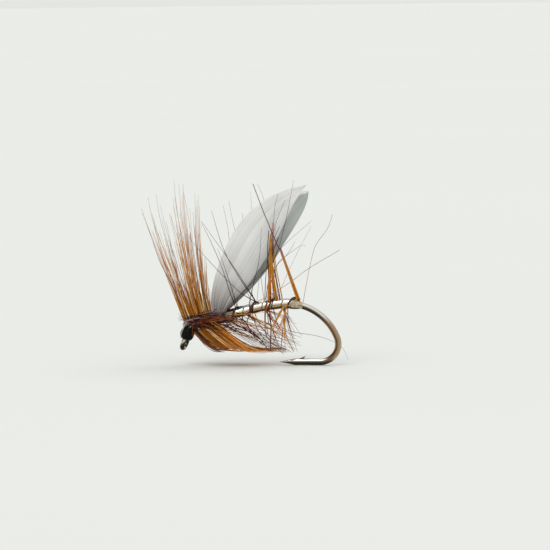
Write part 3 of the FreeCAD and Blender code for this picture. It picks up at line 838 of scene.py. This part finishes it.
for number in range(1, PALMER_WHOLE + 1):
    skin = Skin()
    rng = random.Random(40 + number)
    low = PALMER_WHOLE - number
    high = min(low + 1, PALMER_TURNS)
    for i in range(round(BARBS_PER_TURN * (high - low))):
        turns = rng.uniform(low, high)
        root, distance, angle = palmer_at(turns, 0.05)
        frame_at = wire(distance)[1:]
        angle = angle % 360 + rng.uniform(-8, 8)
        if UNDER[0] < angle < UNDER[1]:
            laid = min(SWEEP_GAIN * turns / PALMER_TURNS, SWEEP_LIMIT)
            grow(
                skin, rng, root, frame_at, angle, rng.uniform(-24, -4) + laid, rng.uniform(3.8, 5.6),
                dark_colours(rng) if i % 2 else ginger_colours(rng), rng.uniform(0, 9),
                floor=REST_Z - 0.12, sizes=(0.042, 0.058), sway=0.01,
            )
        elif angle > UPPER_RIGHT and i % 5 == 0:
            grow(
                skin, rng, root, frame_at, angle, rng.uniform(-32, 22), rng.uniform(5.0, 9.0),
                dark_colours(rng), rng.uniform(-10, 10), sizes=(0.016, 0.024), sway=0.07,
            )
    for style, *points in TURN_LINES[number]:
        placed(skin, rng, style, points)
    skin.make(f"palmer_hackle_turn_{number}", BROWN_HAIR, "brown_hackle", f"palmer_barbs_turn_{number}")


# ---- wings

CAMBER_R = 6.945  # of the bow across a slip
WING_ROOT_Y = 0.275
WING_FLARE = 4.0  # degrees out from the fly's middle
WING_DEPTH = 0.024  # half a barb's thickness
FRAYED_BARBS = 46


class Wing:
    """A feather slip whose outline is given in the XZ plane, on a bowed surface that leans out."""

    def __init__(self, side, front, rear):
        self.side = side
        self.front, self.rear = np.array(front), np.array(rear)
        self.root = (self.front[0] + self.rear[0]) / 2
        self.axis = unit(self.front[-1] - self.root)

    def lift(self, x, z):
        """How far out the surface is at a place in the outline."""
        along = (x - self.root[0]) * self.axis[0] + (z - self.root[1]) * self.axis[1]
        across = (z - self.root[1]) * self.axis[0] - (x - self.root[0]) * self.axis[1]
        bow = np.sqrt(CAMBER_R**2 - np.clip(across, -5, 5) ** 2) - CAMBER_R
        return self.side * (WING_ROOT_Y + bow + math.tan(math.radians(WING_FLARE)) * along)

    def line(self, across, count, reach=1.0):
        """One barb's line, across from the front edge (0) to the rear edge (1)."""
        front, rear = (curve([(x, z, 0.0) for x, z in edge], count) for edge in (self.front, self.rear))
        rows = mix(front, rear, across)
        keep = np.linspace(0, reach * (count - 1), count)
        x = np.interp(keep, np.arange(count), rows[:, 0])
        z = np.interp(keep, np.arange(count), rows[:, 1])
        return np.stack([x, self.lift(x, z), z], 1)

    def skin(self, seed, barbs, base, top, shade_low):
        """The slip's barbs side by side, each as wide as the gap to the next, and some frayed ones."""
        rng = random.Random(seed)
        skin = Skin()
        count = 44
        tones = [rng.uniform(0.90, 1.04) for _ in range(barbs // 3 + 2)]
        streaks = np.interp(np.arange(barbs), np.arange(len(tones)) * 3, tones)
        for i in range(barbs):
            across = (i + 0.5) / barbs
            reach = 1.0 - 0.05 * rng.random() ** 2 - 0.06 * (1 - across) ** 2 * rng.random()
            points = self.line(across, count, reach)
            wide = self.line(across + 1 / barbs, count, reach) - points
            gap = np.linalg.norm(wide, axis=1)
            share = np.linspace(0, 1, count)
            half = np.maximum(gap * 0.56, 0.012) * np.clip((1.02 - share) * 9, 0.12, 1.0)
            half = np.minimum(half, 0.06)
            wave = 0.012 * np.sin(share * rng.uniform(6, 14) + rng.uniform(0, 6))
            points[:, 1] += self.side * wave * share
            tone = streaks[i] * rng.uniform(0.96, 1.03)
            # painted shade: the rear part of each slip darkened, most about a third of the way up
            painted_rear_shade = 0.24 * np.clip((across - 0.55) * 2.4, 0, 1) * np.exp(-(((share - 0.38) / 0.20) ** 2))
            tone = tone * (1 - painted_rear_shade[:, None])
            # painted shade at the foot, darker towards the root from shade_low, and painted light towards
            # the tip from the top colour, standing for light through the thin slip
            foot = mix(shade_low, base, rng.random() ** 2 * 0.8)
            tints = mix(foot, base, np.clip(share * 4.5 - 0.15, 0, 1)[:, None])
            tints = mix(tints, top, (share**2)[:, None]) * tone
            points[:, 1] += self.side * rng.uniform(-0.018, 0.018)
            skin.strand(points, half, tints, sides=6, wide=wide, depths=WING_DEPTH)
        for _ in range(FRAYED_BARBS):
            self.fray(skin, rng, top)
        return skin

    def fray(self, skin, rng, colour):
        """A loose barb that leaves the front edge or the tip and ends just outside it."""
        count = 16
        full = self.line(rng.uniform(0.0, 0.05), 60)
        start = rng.randint(20, 44)
        stop = min(start + rng.randint(8, 18), len(full) - 1)
        points = curve(full[start:stop + 1], count)
        out = unit(np.cross(np.gradient(points, axis=0), SIDEWAYS))
        out = out * np.sign(out[:, 2:3] - out[:, 0:1])
        away = np.linspace(0, 1, count)[:, None] ** 1.6 * rng.uniform(0.03, 0.16)
        points = points + out * away + SIDEWAYS * self.side * away * rng.uniform(-0.5, 0.5)
        skin.strand(points, taper(0.018, 0.006, count), colour * rng.uniform(0.85, 1.05))


LEFT = Wing(
    -1,
    (
        (2.75, 2.50), (2.50, 3.60), (2.66, 5.20), (3.40, 7.60), (4.63, 10.00), (6.15, 11.81), (8.30, 13.25),
        (11.48, 14.30),
    ),
    ((3.78, 2.78), (5.92, 5.27), (7.62, 7.70), (8.85, 9.86), (9.71, 11.57), (10.50, 13.00), (11.48, 14.30)),
)
RIGHT = Wing(
    1,
    ((2.80, 2.50), (2.79, 3.16), (3.12, 5.15), (4.25, 7.52), (6.07, 10.67), (8.62, 12.76), (11.27, 13.57)),
    ((3.78, 2.76), (5.93, 4.75), (7.53, 6.60), (9.13, 9.04), (10.44, 11.16), (11.07, 12.52), (11.27, 13.57)),
)
# both slips come from one feather: the far slip's darker colours are painted shade
LEFT.skin(61, 88, linear(236, 235, 235), linear(255, 255, 254), linear(116, 106, 98)).make(
    "wing_feather_left", WING_FEATHER, "wing_quill", "left_wing"
)
RIGHT.skin(62, 80, linear(204, 208, 206), linear(210, 216, 214), linear(110, 104, 96)).make(
    "wing_feather_right", WING_FEATHER, "wing_quill", "right_wing"
)


# the squeezed ends of the slips, which run forward on the shank and fray out over the head
for side, way in ((-1, "left"), (1, "right")):
    skin = Skin()
    rng = random.Random(65 + side)
    for _ in range(34):
        y = side * rng.uniform(0.02, 0.30)
        points = (
            (2.95, y, rng.uniform(2.60, 3.10)),
            (2.10, y + side * 0.05, rng.uniform(2.32, 2.52)),
            (1.10, y + side * 0.10, rng.uniform(1.95, 2.20)),
            (rng.uniform(0.35, 0.55), y + side * 0.14, rng.uniform(1.72, 2.07)),
            (rng.uniform(-0.11, 0.25), y + side * rng.uniform(0.1, 0.3), rng.uniform(1.35, 2.00)),
        )
        tone = mix(linear(176, 170, 174), linear(110, 104, 108), rng.random() ** 2)
        skin.strand(curve(points, 18), taper(0.045, 0.018, 18), tone)
    for _ in range(11):
        start = np.array((0.22, side * rng.uniform(0.0, 0.35), 2.10)) + scatter(rng, 0.18)
        away = (-rng.uniform(0.25, 0.85), side * rng.uniform(-0.1, 0.3), rng.uniform(-0.05, 0.95))
        stop = start + away
        bow = (start + stop) / 2 + scatter(rng, 0.16)
        skin.strand(curve((start, bow, stop), 14), taper(0.020, 0.008, 14), pick(rng, (3, BLACK), (1, GREY)))
    # a pale fibre over the head, which also stands for the varnish's highlight streak: partly a painted
    # highlight
    if side < 0:
        highlight_fibre_over_head = (
            (0.62, -0.52, 2.15), (0.25, -0.68, 1.85), (0.02, -0.78, 1.36), (-0.16, -0.84, 0.90),
            (-0.22, -0.78, 0.50),
        )
        skin.strand(curve(highlight_fibre_over_head, 20), taper(0.034, 0.036, 20), linear(186, 180, 180))
    skin.make(f"wing_butt_{way}", WING_FEATHER, "wing_quill")

# the trimmed thread and stem ends that lie on top of the body, and the stem's stub at its rear end
ends = Skin()
rng = random.Random(69)
for _ in range(9):
    first = rng.uniform(3.3, 4.2)
    last = rng.uniform(4.9, 6.1)
    lie = rng.uniform(2, 38)
    points = []
    for x in np.linspace(first, last, 7):
        angle = lie + rng.uniform(-5, 5)
        points.append(around(wire_at_x(x), angle, foundation_r(x) + 0.11 + rng.uniform(-0.02, 0.04)))
    ends.strand(curve(points, 24), taper(0.050, 0.026, 24), pick(rng, (3, BLACK), (1, DARK)))
STUB = ((9.98, 0.15), (10.15, 0.15), (10.32, 0.14), (10.46, 0.12))  # X, and how far out from the foundation
stub = [around(wire_at_x(x), 12, foundation_r(x) + rise) for x, rise in STUB]
ends.strand(curve(stub, 12), taper(0.085, 0.12, 12), BLACK, sides=8)
ends.make("trimmed_ends", BROWN_HAIR, "hackle_quill")


# ---- body

TINSEL_X = (3.90, 10.62)


def tinsel():
    """Flat tinsel in close turns, each turn's front edge a little proud and the metal lightly creased."""
    rng = random.Random(71)
    first, last = (wire_at_x(x) for x in TINSEL_X)
    width, pitch, thick = 0.86, 0.90, 0.05
    run = last - first - width
    turns = run / pitch
    count = round(turns * 40)
    columns = 9
    creases = [(rng.uniform(0, turns), rng.uniform(0, width), rng.uniform(0.03, 0.09)) for _ in range(46)]
    rings = []
    for i in range(count + 1):
        share = i / count
        angle = -360 * turns * share
        ring = []
        for top in (True, False):
            order = range(columns) if top else range(columns - 1, -1, -1)
            for c in order:
                shift = width * c / (columns - 1)
                distance = first + run * share + shift
                proud = 0.018 * (1 - c / (columns - 1))
                dent = 0.0
                for turn, across, size in creases:
                    away = ((turn - turns * share) * 2.6) ** 2 + (across - shift) ** 2
                    dent += 0.016 * math.exp(-away / (2 * size**2))
                edge = 0.006 * (abs(2 * c / (columns - 1) - 1) ** 6)
                radius = foundation_r(wire(distance)[0][0]) + proud - edge + (thick - dent if top else 0.0)
                ring.append(around(distance, angle, radius))
        rings.append(ring)
    skin = Skin()
    skin.rings(rings)
    return skin


tinsel().make("tinsel_wrap", TINSEL, "silver_tinsel", "tinsel_body")


def foundation(thread_r):
    """Touching turns of thread on the wire."""
    first, last = wire_at_x(FOUNDATION_X[0]), wire_at_x(FOUNDATION_X[-1])
    turns = (last - first) / (2 * thread_r)
    count = round(turns * 16)
    points = []
    for i in range(count + 1):
        distance = first + (last - first) * i / count
        radius = foundation_r(wire(distance)[0][0]) - thread_r
        points.append(around(distance, 360 * turns * i / count, radius))
    skin = Skin()
    skin.strand(points, thread_r, np.ones(3), sides=5, wide=wire(0)[1])
    return skin


foundation(0.035).make("foundation_winding", TAN_THREAD, "tan_thread", "foundation_thread")

HEAD_PROFILE = (  # distance from the eye's middle, and radius
    (0.34, 0.36), (0.40, 0.46), (0.55, 0.58), (0.75, 0.64), (0.95, 0.64), (1.15, 0.60), (1.32, 0.52),
    (1.60, 0.40),
)
HEAD_RANGE = (0.36, 1.56)
HEAD_ALONG, HEAD_UP = wire(0)[1:]


def head_place(distance, angle, radius):
    """A point of the head, which bulges a little towards the front."""
    radius *= 1 + 0.13 * math.cos(math.radians(angle)) - 0.05 * math.sin(math.radians(2 * angle + 40))
    return HEAD_ALONG * distance + outward(HEAD_UP, angle) * radius


def head_radius(distance):
    return float(np.interp(distance, *zip(*HEAD_PROFILE)))


def head_turns():
    """The thread's turns, over a core that closes the gaps between them."""
    skin = Skin()
    points = []
    turns, per_turn = 24, 22
    for i in range(turns * per_turn + 1):
        share = i / (turns * per_turn)
        distance = mix(*HEAD_RANGE, share)
        points.append(head_place(distance, 360 * turns * share, head_radius(distance) - 0.03))
    skin.strand(points, 0.036, np.ones(3), sides=6, wide=HEAD_ALONG)
    core = []
    for distance in np.linspace(*HEAD_RANGE, 16):
        radius = head_radius(distance) - 0.05
        core.append([head_place(distance, angle, radius) for angle in range(0, 360, 15)])
    skin.rings(core)
    return skin


def varnish_coat():
    """The coat over the head, a little thicker under it and rippled by the turns below."""
    rings = []
    for distance in np.linspace(0.345, 1.56, 36):
        ripple = 0.008 * math.sin(distance * 40)
        ring = []
        for angle in range(0, 360, 10):
            sag = 0.012 * math.cos(math.radians(angle - 150))
            ring.append(head_place(distance, angle, head_radius(distance) + 0.026 + ripple + sag))
        rings.append(ring)
    skin = Skin()
    skin.rings(rings)
    return skin


head_turns().make("head_winding", BLACK_THREAD, "black_thread", "head_thread")
varnish_coat().make("head_gloss", VARNISH, "clear_varnish", "head_varnish")

# the pieces that keep the frame's own shape
for node, material in (
    ("hook", WIRE_PLATE),
    ("palmer_stem", QUILL),
    ("collar_stem", QUILL),
    ("rear_tie_thread", TAN_THREAD),
    ("wing_tie_thread", BLACK_THREAD),
):
    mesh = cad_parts[node].data
    mesh.materials.clear()
    mesh.materials.append(material)


# ---- stage, light and camera

FLOOR_R, FLOOR_GAP = 60.0, 0.00002  # in metres


def disc(name, radius, height, material):
    count = 96
    turns = np.linspace(0, 2 * math.pi, count, endpoint=False)
    mesh = bpy.data.meshes.new(name)
    verts = [(radius * math.cos(turn), radius * math.sin(turn), height) for turn in turns]
    mesh.from_pydata(verts, [], [tuple(range(count))])
    mesh.materials.append(material)
    add(name, mesh)


disc("floor", FLOOR_R, CAD_BOX[0][2] - FLOOR_GAP, floor_material("floor_paper"))


def sun(name, direction, strength, spread, colour):
    """Light from a broad source far away, so that the floor is evenly lit."""
    data = bpy.data.lights.new(name, "SUN")
    data.energy, data.angle, data.color = strength, math.radians(spread), colour
    light = add(name, data)
    light.rotation_mode = "QUATERNION"
    light.rotation_quaternion = Vector(direction).to_track_quat("-Z", "Y")


sun("key", (0.30, 0.50, -1.0), 0.85, 35.0, (1.0, 0.99, 0.97))
sun("rear", (-0.45, -0.60, -1.0), 0.40, 50.0, (0.97, 0.99, 1.0))

world = bpy.data.worlds.new("studio")
world.use_nodes = True
sky = world.node_tree.nodes["Background"]
sky.inputs["Color"].default_value = (0.780, 0.790, 0.762, 1.0)
bpy.context.scene.world = world
bpy.context.scene.view_settings.view_transform = "Standard"

AZIMUTH, ELEVATION, ROLL = 9.0, 4.0, -0.70
CAMERA_DISTANCE = 0.35
FIELD = 0.04953  # how wide the view is at the fly, in metres
SENSOR = 36.0
AIM = (8.1285, 6.1231)  # how far right of the eye and above it the middle of the view is, in mm


def camera():
    a, e, r = (math.radians(v) for v in (AZIMUTH, ELEVATION, ROLL))
    right = np.array((math.cos(a), math.sin(a), 0.0))
    forward = np.array((-math.sin(a) * math.cos(e), math.cos(a) * math.cos(e), -math.sin(e)))
    above = np.cross(right, forward)
    right, above = right * math.cos(r) + above * math.sin(r), above * math.cos(r) - right * math.sin(r)
    target = (right * AIM[0] + above * AIM[1]) * MM
    data = bpy.data.cameras.new("camera")
    data.sensor_width = SENSOR
    data.lens = SENSOR * CAMERA_DISTANCE / FIELD
    data.clip_start, data.clip_end = 0.01, 200.0
    cam = add("camera", data)
    turn = Matrix([Vector(right), Vector(above), Vector(-forward)]).transposed()
    cam.matrix_world = Matrix.Translation(Vector(target - forward * CAMERA_DISTANCE)) @ turn.to_4x4()
    bpy.context.scene.camera = cam


camera()
